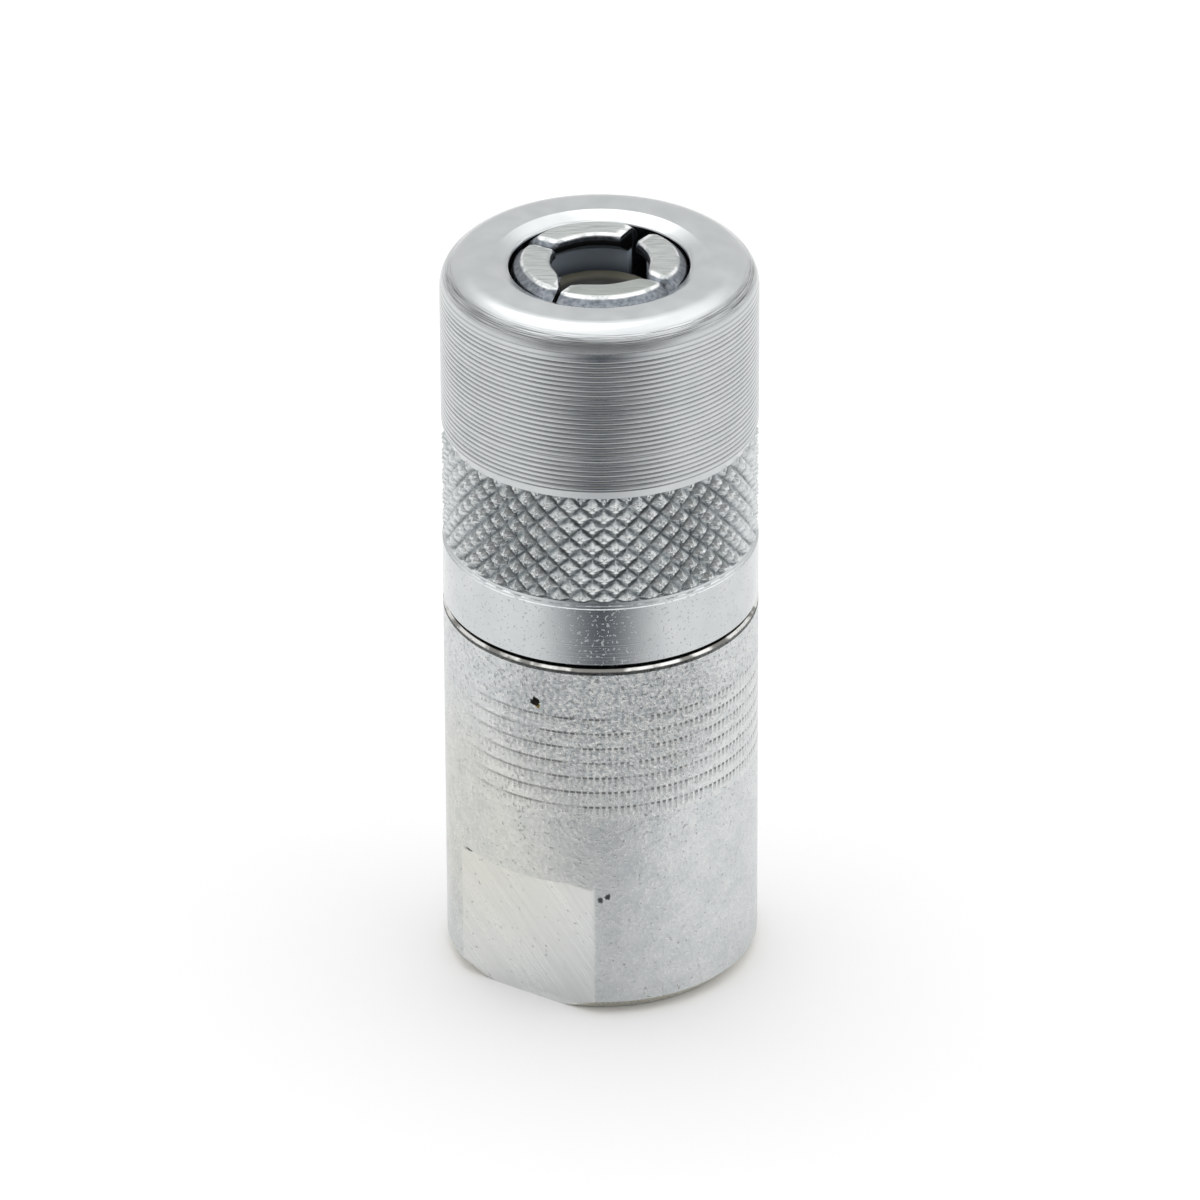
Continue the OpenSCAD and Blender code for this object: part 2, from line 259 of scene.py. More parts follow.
body_piece = surface_piece("coupler_barrel", turned_points(body_rows, body_angles), sharp=40)

# Zinc plating over turned steel: matte and pale grey, granular from the grain of the bar, whose pale and
# dull tone is painted light and shade of its relief, with small dark pits that crowd under the shoulder and
# rows of fine tool chatter round the middle. The shoulder's chamfer carries a painted highlight, the milled
# flats show the cutter's slanting marks, and a few larger flaws are in the skin.
zinc_pale = linear("#e8e9e7")
zinc_dull = linear("#b4b9bd")
zinc_cream = linear("#e2dfd3")
warm_tint = linear("#faf8f1")
rim_highlight_dull = linear("#7e7d79")
rim_highlight_pale = linear("#e6e5e2")
mark_and_shade_dark = linear("#474946")
joint_grey = linear("#6a6c6e")
thread_grey = linear("#a4a8a9")
cloud_mm = 1.1
skin_grain_mm = 0.2
pit_mm = 0.18
skin_relief_mm = 0.09
chatter_top_z = 16.34
chatter_pitch = 0.802
chatter_rows = 7
chatter_dash = 0.295
chatter_from, chatter_to = math.radians(-128), math.radians(60)
flat_band = 0.02
relief_shading_centre = (4.6, -5.9, 15.8)
warm_patch = (-3.2, -6.8, 8.5)
flaws = (
    ((1.19, -7.4, 16.83), 0.14, "#8d7c4e"),
    ((1.09, -7.42, 16.98), 0.19, "#1d1a15"),
    ((-3.3, -6.68, 7.0), 0.12, "#3c3d3f"),
    ((4.02, -6.33, 6.42), 0.11, "#55585a"),
    ((4.3, -6.14, 6.56), 0.1, "#4b4e50"),
)

plated, tree, shader, place = new_material("zinc_plated_steel_matte")
x, y, z = add(tree, "SeparateXYZ", (place,)).outputs
theta = add(tree, "Math", (y, x), operation="ARCTAN2")
around = add(tree, "Math", (theta, outer_r), operation="MULTIPLY")
mottle = add(tree, "TexNoise", {"Vector": place, "Scale": 1 / cloud_mm, "Detail": 4})
grain = add(tree, "TexNoise", {"Vector": place, "Scale": 1 / skin_grain_mm, "Detail": 3, "Roughness": 0.6})
pits = add(tree, "TexNoise", {"Vector": place, "Scale": 1 / pit_mm, "Detail": 1})

# Pits: where the noise passes a level that falls towards the shoulder.
pit_level = add(tree, "MapRange", (z, 6.0, 18.6, 0.7, 0.6))
pit_over = add(tree, "Math", (pits, pit_level), operation="SUBTRACT")
pit_mask = add(tree, "MapRange", (pit_over, -0.02, 0.1), interpolation_type="SMOOTHSTEP")

# Chatter: a line each pitch, broken into dashes that run together on one side, with ticks below.
below_top = add(tree, "Math", (chatter_top_z, z), operation="SUBTRACT")
row_phase = add(tree, "Math", (below_top, chatter_pitch), operation="DIVIDE")
first_row = add(tree, "Math", (row_phase, -0.1), operation="GREATER_THAN")
last_row = add(tree, "Math", (row_phase, chatter_rows - 0.1), operation="LESS_THAN")
row_shift = add(tree, "Math", (row_phase, 0.1), operation="ADD")
row_place = add(tree, "Math", (row_shift,), operation="FRACT")
off_line = add(tree, "Math", (row_phase, 0.5), operation="PINGPONG")
line = add(tree, "MapRange", (off_line, 0.11, 0.03), interpolation_type="SMOOTHSTEP")
off_dash = add(tree, "Math", (around, chatter_dash / 2), operation="PINGPONG")
run_on = add(tree, "MapRange", (theta, math.radians(-48), math.radians(-70), 0.0, 0.05))
dash_reach = add(tree, "Math", (off_dash, run_on), operation="SUBTRACT")
dash = add(tree, "MapRange", (dash_reach, 0.1, 0.045), interpolation_type="SMOOTHSTEP")
dots = add(tree, "Math", (line, dash), operation="MULTIPLY")
tick_side = add(tree, "MapRange", (off_dash, 0.1, 0.03), interpolation_type="SMOOTHSTEP")
tick_fall = add(tree, "MapRange", (row_place, 0.8, 0.15, 0.0, 0.45), interpolation_type="SMOOTHSTEP")
ticks = add(tree, "Math", (tick_side, tick_fall), operation="MULTIPLY")
marks = add(tree, "Math", (dots, ticks), operation="MAXIMUM")
left_fade = add(tree, "MapRange", (theta, chatter_from, chatter_from + 1.0), interpolation_type="SMOOTHSTEP")
right_fade = add(tree, "MapRange", (theta, chatter_to, chatter_to - 0.7), interpolation_type="SMOOTHSTEP")
patchy = add(tree, "MapRange", (mottle, 0.36, 0.56, 0.3, 1.0), interpolation_type="SMOOTHSTEP")
in_rows = first_row
for share in (last_row, left_fade, right_fade):
    in_rows = add(tree, "Math", (in_rows, share), operation="MULTIPLY")
chatter = marks
for share in (in_rows, patchy):
    chatter = add(tree, "Math", (chatter, share), operation="MULTIPLY")

# Milling marks on the flats, stretched along a slanting line.
beside = add(tree, "Math", (y,), operation="ABSOLUTE")
off_flat = add(tree, "Math", (beside, flat_y, flat_band), operation="COMPARE")
low_down = add(tree, "Math", (z, flat_top), operation="LESS_THAN")
on_flat = add(tree, "Math", (off_flat, low_down), operation="MULTIPLY")
slant = add(
    tree, "Mapping", (place, (0, 0, 0), (0, math.radians(48), 0), (5, 1, 0.16)), vector_type="TEXTURE"
)
mill = add(tree, "TexNoise", {"Vector": slant, "Scale": 1, "Detail": 3})

# Shoulder: a chamfer with a painted highlight, broken into pale and dull patches, between the dark joint
# above it and a fine dark line below it, which is painted shade in the tool line's groove.
rim_highlight_band = add(tree, "MapRange", (z, body_h - 0.14, body_h - 0.11))
rim_highlight_share = add(tree, "MapRange", (mottle, 0.42, 0.58), interpolation_type="SMOOTHSTEP")
rim_highlight_colour = add(tree, "Mix", (rim_highlight_share, rim_highlight_dull, rim_highlight_pale), data_type="RGBA")
joint_half = (seat_z - body_h) / 2 + 0.02
at_joint = add(tree, "Math", (z, (body_h + seat_z) / 2, joint_half), operation="COMPARE")
flat_place = add(tree, "CombineXYZ", (x, y))
from_axis = add(tree, "VectorMath", (flat_place,), operation="LENGTH")
inside_joint = add(tree, "Math", (from_axis, outer_r - 0.2), operation="LESS_THAN")
joint_dark = add(tree, "Math", (at_joint, inside_joint), operation="MULTIPLY")
# The tool line's groove is painted dark, as shade.
tool_line = add(tree, "Math", (z, tool_line_z, tool_line_half), operation="COMPARE")
tool_line_shade = add(tree, "Math", (tool_line, 0.85), operation="MULTIPLY")

# Grain: colour, gloss and relief follow one noise, which is coarsest in a patch under the shoulder, on the
# front.
# Its pale and dull tone is painted light and shade of the relief, strongest in that patch. On the flats the
# milling marks take its place.
faint_mill = add(tree, "MapRange", (mill, 0.3, 0.7, 0.37, 0.63))
speckle = add(tree, "Mix", (on_flat, grain, faint_mill), data_type="FLOAT")
grain_relief_and_shading = add(tree, "MapRange", (z, 10.0, 17.5, 1.8, 2.8), interpolation_type="SMOOTHSTEP")
# The patch faces the front: the painted light and shade of the grain are strongest there, and the pits
# darkest.
from_patch = add(tree, "VectorMath", (place, relief_shading_centre), operation="DISTANCE")
relief_shading_patch = add(tree, "MapRange", (from_patch, 1.5, 7.2, 1.5, 0.3), interpolation_type="SMOOTHSTEP")
grain_relief_and_shading = add(tree, "Math", (grain_relief_and_shading, relief_shading_patch), operation="MULTIPLY")
off_mean = add(tree, "Math", (speckle, 0.5), operation="SUBTRACT")
grain_light_and_shade = add(tree, "Math", (off_mean, grain_relief_and_shading, 0.5), operation="MULTIPLY_ADD")

# Tone: pale where the grain stands up and dull where it sinks, as painted highlight and painted shade of the
# relief; paler on the flats and in the chatter rows. The plating is slightly warm on one side and cream on
# the rim of the foot.
cloud = add(tree, "MapRange", (mottle, 0.3, 0.7, -0.1, 0.1), interpolation_type="SMOOTHSTEP")
cloud = add(tree, "Mix", (on_flat, cloud, 0.0), data_type="FLOAT")
shaded_grain_cloud = add(tree, "Math", (grain_light_and_shade, cloud), operation="ADD")
flat_pale = add(tree, "Math", (on_flat, 0.25, shaded_grain_cloud), operation="MULTIPLY_ADD")
row_pale = add(tree, "Math", (in_rows, 0.15, flat_pale), operation="MULTIPLY_ADD")
base = add(tree, "Mix", (row_pale, zinc_dull, zinc_pale), data_type="RGBA")
from_warm = add(tree, "VectorMath", (place, warm_patch), operation="DISTANCE")
warm_share = add(tree, "MapRange", (from_warm, 2.5, 9.0, 1.0, 0.0), interpolation_type="SMOOTHSTEP")
base = add(tree, "Mix", (warm_share, base, warm_tint), data_type="RGBA", blend_type="MULTIPLY")
# Painted highlight on the shoulder's chamfer, in pale and dull patches.
base = add(tree, "Mix", (rim_highlight_band, base, rim_highlight_colour), data_type="RGBA")
foot_edge = add(tree, "MapRange", (z, foot_chamfer + 0.02, foot_chamfer - 0.1))
off_flats = add(tree, "Math", (beside, flat_y - flat_band), operation="LESS_THAN")
foot_warm = add(tree, "Math", (foot_edge, off_flats), operation="MULTIPLY")
at_rim = add(tree, "Math", (from_axis, outer_r - foot_chamfer + 0.05), operation="GREATER_THAN")
foot_warm = add(tree, "Math", (foot_warm, at_rim), operation="MULTIPLY")
base = add(tree, "Mix", (foot_warm, base, zinc_cream), data_type="RGBA")

# Dark places: pits, chatter, painted shade in the tool line's groove, the flaws and the joint. The threads
# are plain grey.
pit_share = add(tree, "Math", (relief_shading_patch, 0.24, 0.16), operation="MULTIPLY_ADD")
soft_dark = add(tree, "Math", (pit_mask, pit_share), operation="MULTIPLY")
row_dark = add(tree, "Math", (chatter, 0.8), operation="MULTIPLY")
skin_marks_and_shade = add(tree, "Math", (soft_dark, row_dark), operation="MAXIMUM")
skin_marks_and_shade = add(tree, "Math", (skin_marks_and_shade, tool_line_shade), operation="MAXIMUM")
off_rim_highlight = add(tree, "Math", (1.0, rim_highlight_band), operation="SUBTRACT")
skin_marks_and_shade = add(tree, "Math", (skin_marks_and_shade, off_rim_highlight), operation="MULTIPLY")
colour = add(tree, "Mix", (skin_marks_and_shade, base, mark_and_shade_dark), data_type="RGBA")
for spot, size, tint in flaws:
    apart = add(tree, "VectorMath", (place, spot), operation="DISTANCE")
    ragged = add(tree, "Math", (grain, 0.4, apart), operation="MULTIPLY_ADD")
    flaw = add(tree, "MapRange", (ragged, size + 0.28, size + 0.2), interpolation_type="SMOOTHSTEP")
    colour = add(tree, "Mix", (flaw, colour, linear(tint)), data_type="RGBA")
on_spigot = add(tree, "Math", (z, seat_z + 0.03), operation="GREATER_THAN")
in_bore = add(tree, "Math", (from_axis, bore_root_r + 0.05), operation="LESS_THAN")
on_thread = add(tree, "Math", (on_spigot, in_bore), operation="MAXIMUM")
colour = add(tree, "Mix", (on_thread, colour, thread_grey), data_type="RGBA")
colour = add(tree, "Mix", (joint_dark, colour, joint_grey), data_type="RGBA")

# Finish: smoother where the grain stands up, bumped by grain, pits and chatter, and plain on the threads.
matte = add(tree, "MapRange", (speckle, 0.35, 0.65, 0.42, 0.24))
rough = add(tree, "Mix", (rim_highlight_band, matte, 0.3), data_type="FLOAT")
hammered = add(tree, "Math", (speckle, grain_relief_and_shading), operation="MULTIPLY")
pitted = add(tree, "Math", (pit_mask, -0.6, hammered), operation="MULTIPLY_ADD")
relief = add(tree, "Math", (chatter, -1.3, pitted), operation="MULTIPLY_ADD")
relief = add(tree, "Math", (relief, off_rim_highlight), operation="MULTIPLY")
off_thread = add(tree, "Math", (1.0, on_thread), operation="SUBTRACT")
relief = add(tree, "Math", (relief, off_thread), operation="MULTIPLY")
bump = add(tree, "Bump", {"Height": relief, "Distance": skin_relief_mm * MM})
tree.links.new(colour.outputs[2], shader.inputs["Base Color"])
tree.links.new(rough.outputs[0], shader.inputs["Roughness"])
tree.links.new(bump.outputs[0], shader.inputs["Normal"])

body_piece.data.materials.append(plated)
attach(body_piece, "coupler")
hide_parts("coupler_body")

# Check valve
# A polished steel ball on the body's conical seat, held there by a light wire spring under a
# pressed-in steel disc. It stops grease from running back. All three lie deep in the body.

spring_wire = linear("#8d9294")


def plain_metal(name, colour, roughness, grain_mm, bump_mm):
    """A steel finish with one colour, whose roughness and surface vary with a fine grain."""
    material, tree, shader, place = new_material(name)
    shader.inputs["Base Color"].default_value = colour
    grain = add(tree, "TexNoise", {"Vector": place, "Scale": 1 / grain_mm, "Detail": 3})
    rough = add(tree, "MapRange", (grain, 0.3, 0.7, roughness * 0.8, roughness * 1.25))
    bump = add(tree, "Bump", {"Height": grain, "Distance": bump_mm * MM})
    tree.links.new(rough.outputs[0], shader.inputs["Roughness"])
    tree.links.new(bump.outputs[0], shader.inputs["Normal"])
    return material


def coil(name, mean_r, wire_d, low, high, turns, sides=12, steps=36):
    """Compression spring: a circle of wire carried along a helix. The height rises by one wire a turn in
    the closed end turns and evenly between them."""
    turn = np.linspace(0, turns, turns * steps + 1)
    wire_rise = high - low - wire_d
    closed_turns = 0.75
    closed_h = closed_turns * 1.06 * wire_d
    height = low + wire_d / 2 + np.interp(
        turn, [0, closed_turns, turns - closed_turns, turns], [0, closed_h, wire_rise - closed_h, wire_rise]
    )
    side = np.linspace(0, -TURN, sides, endpoint=False)[:, None]
    radius = mean_r + wire_d / 2 * np.cos(side)
    return surface_piece(
        name,
        np.stack(
            [
                radius * np.cos(TURN * turn),
                radius * np.sin(TURN * turn),
                height + wire_d / 2 * np.sin(side),
            ],
            axis=2,
        )[:, ::-1],
        closed=False,
    )


def finish_node(node, material):
    """Gives a CAD node this material in place of the one it came with."""
    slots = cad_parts[node].data.materials
    slots.clear()
    slots.append(material)


check_low, check_high = box_mm("check_spring")
check_wire_d = 0.35
check_mean_r = check_high[0] - check_wire_d / 2
check_turns = 4
check_piece = coil("check_spring_wire", check_mean_r, check_wire_d, check_low[2], check_high[2], check_turns)
drawn_wire = plain_metal("spring_steel_drawn_wire", spring_wire, 0.3, 0.3, 0.004)
check_piece.data.materials.append(drawn_wire)
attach(check_piece, "coupler")
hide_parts("check_spring")
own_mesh(check_piece)
finish_node("check_ball", plain_metal("bearing_steel_polished", linear("#d8dadb"), 0.08, 0.8, 0.0005))
turned_steel = plain_metal("steel_turned", linear("#b4b7b7"), 0.32, 0.25, 0.004)
finish_node("spring_retainer", turned_steel)

# Jaw spring
# A strong compression spring of hard-drawn wire in the spigot's pocket. It holds the plunger, the thrust
# ring and the jaws up against the cone of the sleeve.

jaw_spring_low, jaw_spring_high = box_mm("jaw_spring")
jaw_wire_d = 0.8
jaw_spring_mean_r = jaw_spring_high[0] - jaw_wire_d / 2
jaw_spring_turns = 4
jaw_spring_piece = coil(
    "jaw_spring_wire",
    jaw_spring_mean_r,
    jaw_wire_d,
    jaw_spring_low[2],
    jaw_spring_high[2],
    jaw_spring_turns,
)
jaw_spring_piece.data.materials.append(drawn_wire)
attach(jaw_spring_piece, "spring_stack")
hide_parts("jaw_spring")
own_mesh(jaw_spring_piece)

# Plunger with O-ring and thrust ring
# A hollow turned steel plunger slides in the body's bore, sealed by a rubber O-ring on its stem. The
# hardened thrust ring lies on its collar and carries the feet of the jaws.

plunger_low, plunger_high = box_mm("seal_plunger")
o_ring_low, o_ring_high = box_mm("plunger_o_ring")
seal_low, seal_high = box_mm("nipple_seal")
plunger_angles = np.linspace(0, TURN, 96, endpoint=False)
stem_r = 2.96
groove_r = 2.18
groove_half = 0.52
collar_r = plunger_high[0]
collar_h = 1.0
head_r = 3.0
channel_r = 1.0
stub_r = 2.22
edge = 0.12
o_ring_z = (o_ring_low[2] + o_ring_high[2]) / 2
collar_top = box_mm("thrust_ring")[0][2]
plunger_section = corners(
    [
        (channel_r, plunger_low[2]),
        (stem_r - edge, plunger_low[2]),
        (stem_r, plunger_low[2] + edge),
        (stem_r, o_ring_z - groove_half),
        (groove_r, o_ring_z - groove_half),
        (groove_r, o_ring_z + groove_half),
        (stem_r, o_ring_z + groove_half),
        (stem_r, collar_top - collar_h),
        (collar_r - edge, collar_top - collar_h),
        (collar_r, collar_top - collar_h + edge),
        (collar_r, collar_top),
        (head_r, collar_top),
        (head_r, plunger_high[2] - edge),
        (head_r - edge, plunger_high[2]),
        (stub_r, plunger_high[2]),
        (stub_r, seal_low[2] - 0.02),
        (channel_r, seal_low[2] - 0.02),
        (channel_r, plunger_low[2] + 0.2),
    ],
    0.8,
)
plunger_piece = surface_piece(
    "plunger_turned", turned_points([spread(plunger_section, plunger_angles)], plunger_angles)
)
plunger_piece.data.materials.append(turned_steel)
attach(plunger_piece, "plunger")
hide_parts("seal_plunger")

hardened = plain_metal("steel_hardened_ground", linear("#9a9ea0"), 0.3, 0.2, 0.004)
finish_node("thrust_ring", hardened)

rubber, tree, shader, place = new_material("nitrile_rubber_moulded", metallic=0.0)
shader.inputs["Base Color"].default_value = linear("#242424")
rubber_grain = add(tree, "TexNoise", {"Vector": place, "Scale": 1 / 0.2, "Detail": 2})
rubber_rough = add(tree, "MapRange", (rubber_grain, 0.3, 0.7, 0.45, 0.65))
tree.links.new(rubber_rough.outputs[0], shader.inputs["Roughness"])
finish_node("plunger_o_ring", rubber)

# Nipple seal
# A dished disc of hard polyurethane, pressed with its stub into the plunger's head. Its rim meets the head
# of the nipple. It is moulded, olive brown and satin, and its dish is painted near black below the rim, as
# shade.


def fillet(centre, radius, start, end, count):
    """Points of a section on an arc: the centre plus the radius turned from one angle to another."""
    angle = np.radians(np.linspace(start, end, count + 1))
    return np.stack([centre[0] + radius * np.cos(angle), centre[1] + radius * np.sin(angle)], axis=1)


seal_angles = np.linspace(0, TURN, 96, endpoint=False)
disc_r = seal_high[0]
disc_z = plunger_high[2]
seal_stub_r = 2.2
rim_w = 0.35
rim_z = seal_high[2]
dish_z = rim_z - 1.0
rim_edge = 0.08
seal_section = np.vstack([
    corners(
        [
            (channel_r, seal_low[2]),
            (seal_stub_r, seal_low[2]),
            (seal_stub_r, disc_z),
            (disc_r, disc_z),
            (disc_r, rim_z - rim_edge),
        ],
        0.4,
    ),
    fillet((disc_r - rim_edge, rim_z - rim_edge), rim_edge, 15, 90, 4),
    corners([(disc_r - rim_w, rim_z), (channel_r + 0.1, dish_z), (channel_r, dish_z - 0.1)], 0.2),
])
seal_piece = surface_piece("seal_moulded", turned_points([spread(seal_section, seal_angles)], seal_angles))

moulded, tree, shader, place = new_material("polyurethane_moulded_satin", metallic=0.0)
z = add(tree, "SeparateXYZ", (place,)).outputs["Z"]
seal_tone = add(tree, "TexNoise", {"Vector": place, "Scale": 1 / 0.8, "Detail": 4})
seal_plain = add(tree, "Mix", (seal_tone, linear("#62614f"), linear("#7f7d71")), data_type="RGBA")
# Painted shade: the dish darkens to near black below the rim.
dish_shade = add(tree, "MapRange", (z, rim_z - 0.02, rim_z - 0.2), interpolation_type="SMOOTHSTEP")
seal_colour = add(tree, "Mix", (dish_shade, seal_plain, linear("#15140f")), data_type="RGBA")
seal_rough = add(tree, "MapRange", (seal_tone, 0.3, 0.7, 0.34, 0.5))
seal_bump = add(tree, "Bump", {"Height": seal_tone, "Distance": 0.01 * MM})
tree.links.new(seal_colour.outputs[2], shader.inputs["Base Color"])
tree.links.new(seal_rough.outputs[0], shader.inputs["Roughness"])
tree.links.new(seal_bump.outputs[0], shader.inputs["Normal"])
seal_piece.data.materials.append(moulded)
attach(seal_piece, "plunger")
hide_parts("nipple_seal")

# Jaws
# Four hardened steel jaws, sawn from one turned ring, with hooked lips that close round the nipple's neck.
# Their edges are tumbled round, their tops keep the milling marks, and they sit a little askew.

jaw_low = box_mm("jaw_1")[0]
mouth_z = sleeve_high[2]
saw_half = jaw_low[0]
jaw_foot_z = jaw_low[2]
cone_half = math.radians(16)
cone_slope = math.tan(cone_half)
mouth_r = 4.25
mouth_bevel_h = 0.36
throat_z = mouth_z - mouth_bevel_h
jaw_play = 0.05 / math.cos(cone_half)
jaw_r = 5.047
lip_r = 2.45
lip_h = 0.6
lip_chamfer = 0.15
recess_r = 3.35
hook_h = 0.65
jaw_bevel_w = 0.5
jaw_bevel_h = 0.45
jaw_end_w = 0.42
jaw_corner_w = 1.2
bevel_row = 3
bevel_z = mouth_z - jaw_bevel_h
bevel_r = mouth_r + (throat_z - bevel_z) * cone_slope - jaw_play
jaw_shoulder_z = throat_z - (jaw_r + jaw_play - mouth_r) / cone_slope
jaw_section = corners(
    [
        (recess_r, jaw_foot_z),
        (jaw_r, jaw_foot_z),
        (jaw_r, jaw_shoulder_z),
        (bevel_r, bevel_z),
        (bevel_r - jaw_bevel_w, mouth_z),
        (lip_r + lip_chamfer, mouth_z),
        (lip_r, mouth_z - lip_chamfer),
        (lip_r, mouth_z - lip_h),
        (recess_r, mouth_z - lip_h - hook_h),
        (recess_r, jaw_foot_z + 0.5),
    ],
    5.0,
)


def jaw_points(quarter_turns, inward, askew, drops, cuts):
    """Points of one jaw: its section carried round the axis between two saw cuts. At each radius the sweep
    starts and ends where the cut's half width over the radius gives the sine of the angle. Columns lie at
    set arc lengths from both ends. The top falls in a straight chamfer to each end by its drop. Towards the
    ends the outer bevel widens and the lip opens, by the end's cut times the square of the share of the
    corner's length that is left."""
    start = np.arcsin(saw_half / jaw_section[:, :1])
    length = jaw_section[:, :1] * (math.pi / 2 - 2 * start)
    near = np.array([0, jaw_end_w / 2, jaw_end_w, 0.8, jaw_corner_w])
    between = np.linspace(0, 1, 9)[1:-1]
    middle_part = jaw_corner_w + between * (length - 2 * jaw_corner_w)
    along = np.hstack([near + 0 * length, middle_part, length - near[::-1]])
    radius = jaw_section[:, :1] + 0 * along
    height = jaw_section[:, 1:] + 0 * along
    top = slice(bevel_row, bevel_row + 4)
    lips = slice(bevel_row + 2, bevel_row + 5)
    for to_end, drop, cut in zip((along, length - along), drops, cuts):
        height[top] -= drop * np.clip(1 - to_end[top] / jaw_end_w, 0, 1)
        corner = np.clip(1 - to_end / jaw_corner_w, 0, 1) ** 2
        height[bevel_row] -= drop * corner[bevel_row]
        radius[bevel_row] += drop * cone_slope * corner[bevel_row]
        radius[bevel_row + 1] -= drop * corner[bevel_row + 1]
        radius[lips] += cut * corner[lips]
    angle = start + along / jaw_section[:, :1] + quarter_turns * math.pi / 2 + math.radians(askew)
    middle = (quarter_turns + 0.5) * math.pi / 2
    return np.stack(
        [
            radius * np.cos(angle) - inward * math.cos(middle),
            radius * np.sin(angle) - inward * math.sin(middle),
            height,
        ],
        axis=2,
    )


# Ground and tumbled steel with rounded edges, which carry a painted highlight broken by noise; its flat tops
# keep fine straight cutter lines, and one jaw's top is dulled by a film. The bevels are rubbed grey by the
# cone and painted darker below the top as shade. The walls behind the lips are blued by hardening; under the
# lips and hooks they are painted near black as shade, and below the hooks painted light at the top and dark
# deeper down.
jaw_steel, tree, shader, place = new_material("steel_hardened_milled")
x, y, z = add(tree, "SeparateXYZ", (place,)).outputs
cut_lines = add(
    tree, "Mapping", (place, (0, 0, 0), (0, 0, math.radians(33)), (0.9, 0.055, 0.4)), vector_type="TEXTURE"
)
cuts = add(tree, "TexNoise", {"Vector": cut_lines, "Scale": 1, "Detail": 3})
cut_share = add(tree, "MapRange", (cuts, 0.35, 0.65), interpolation_type="SMOOTHSTEP")
jaw_top = add(tree, "Mix", (cut_share, linear("#adb1af"), linear("#c2c6c4")), data_type="RGBA")
toward_front = add(tree, "VectorMath", (place, (0.707, -0.707, 0)), operation="DOT_PRODUCT")
front_dull = add(tree, "MapRange", (toward_front, 1.9, 2.5, 0.0, 0.75))
jaw_top = add(tree, "Mix", (front_dull, jaw_top, linear("#a3a8a4")), data_type="RGBA")
off_top = add(tree, "MapRange", (z, mouth_z - 0.01, mouth_z - 0.05))
below_edge = add(tree, "MapRange", (z, mouth_z - 0.1, mouth_z - 0.16))
edge_highlight_noise = add(tree, "TexNoise", {"Vector": place, "Scale": 1 / 0.7, "Detail": 3})
edge_highlight_share = add(tree, "MapRange", (edge_highlight_noise, 0.4, 0.55), interpolation_type="SMOOTHSTEP")
rubbed = add(tree, "TexNoise", {"Vector": place, "Scale": 1 / 0.22, "Detail": 3})
rub_share = add(tree, "MapRange", (rubbed, 0.35, 0.65))
# Below the edge: rubbed grey by the cone, and darker than the top as painted shade.
jaw_rub_and_shade = add(tree, "Mix", (rub_share, linear("#656b72"), linear("#8b9096")), data_type="RGBA")
# Painted highlight on the rounded top edges, broken by noise.
jaw_edge_highlight = add(tree, "Mix", (edge_highlight_share, linear("#bcc0c0"), linear("#f3f4f4")), data_type="RGBA")
jaw_edge_light_and_shade = add(tree, "Mix", (below_edge, jaw_edge_highlight, jaw_rub_and_shade), data_type="RGBA")
jaw_outer_tone = add(tree, "Mix", (off_top, jaw_top, jaw_edge_light_and_shade), data_type="RGBA")
flat_place = add(tree, "CombineXYZ", (x, y))
from_axis = add(tree, "VectorMath", (flat_place,), operation="LENGTH")
below_lip = add(tree, "MapRange", (z, mouth_z - 0.2, mouth_z - 0.4), interpolation_type="SMOOTHSTEP")
inside = add(tree, "MapRange", (from_axis, 3.75, 3.65))
jaw_deep = add(tree, "Math", (below_lip, inside), operation="MULTIPLY")
# Painted light and shade behind the lips: the walls light at the top and dark deeper down, near black under
# the lips and hooks.
wall_shade_depth = add(tree, "MapRange", (z, mouth_z - 1.3, mouth_z - 2.6))
wall_light_and_shade = add(tree, "Mix", (wall_shade_depth, linear("#e2eefc"), linear("#4a5766")), data_type="RGBA")
on_wall = add(tree, "Math", (from_axis, recess_r, 0.26), operation="COMPARE")
below_hook = add(tree, "MapRange", (z, mouth_z - lip_h - hook_h + 0.1, mouth_z - lip_h - hook_h))
wall_share = add(tree, "Math", (on_wall, below_hook), operation="MULTIPLY")
jaw_deep_shade = add(tree, "Mix", (wall_share, linear("#0e0f11"), wall_light_and_shade), data_type="RGBA")
jaw_tone = add(tree, "Mix", (jaw_deep, jaw_outer_tone, jaw_deep_shade), data_type="RGBA")
jaw_bare = add(tree, "MapRange", (jaw_deep, 0.0, 1.0, 1.0, 0.15))
top_rough = add(tree, "MapRange", (cuts, 0.3, 0.7, 0.24, 0.44))
jaw_rough = add(tree, "Mix", (jaw_deep, top_rough, 0.3), data_type="FLOAT")
jaw_bump = add(tree, "Bump", {"Height": cuts, "Distance": 0.006 * MM})
tree.links.new(jaw_tone.outputs[2], shader.inputs["Base Color"])
tree.links.new(jaw_bare.outputs[0], shader.inputs["Metallic"])
tree.links.new(jaw_rough.outputs[0], shader.inputs["Roughness"])
tree.links.new(jaw_bump.outputs[0], shader.inputs["Normal"])

